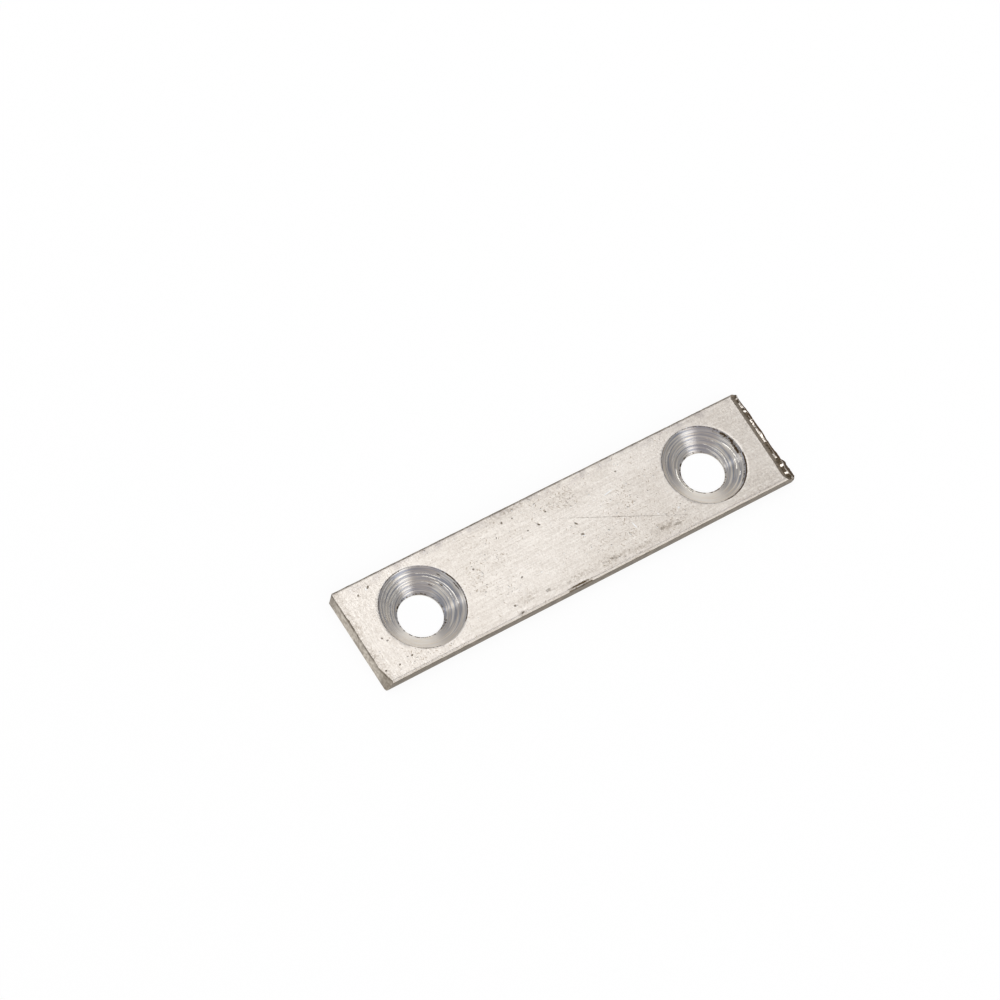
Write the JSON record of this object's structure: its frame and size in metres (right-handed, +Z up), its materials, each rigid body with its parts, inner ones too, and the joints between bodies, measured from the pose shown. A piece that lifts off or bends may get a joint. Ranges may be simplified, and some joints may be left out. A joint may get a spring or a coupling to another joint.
{
  "type": "aluminium plate",
  "caption": "Short flat aluminium bar with a countersunk screw hole near each end, for fixing or packing; one end is cut square and the other is broken off.",
  "frame": {"origin": "middle of the underside", "axes": "+X along the bar from the square end to the broken end, +Y across it, +Z up out of the countersunk face"},
  "size_m": [0.09, 0.02, 0.003],
  "materials": {
    "aluminium": "mill finish, worn and scratched"
  },
  "bodies": {
    "root": {"plate": "aluminium"}
  },
  "joints": []
}
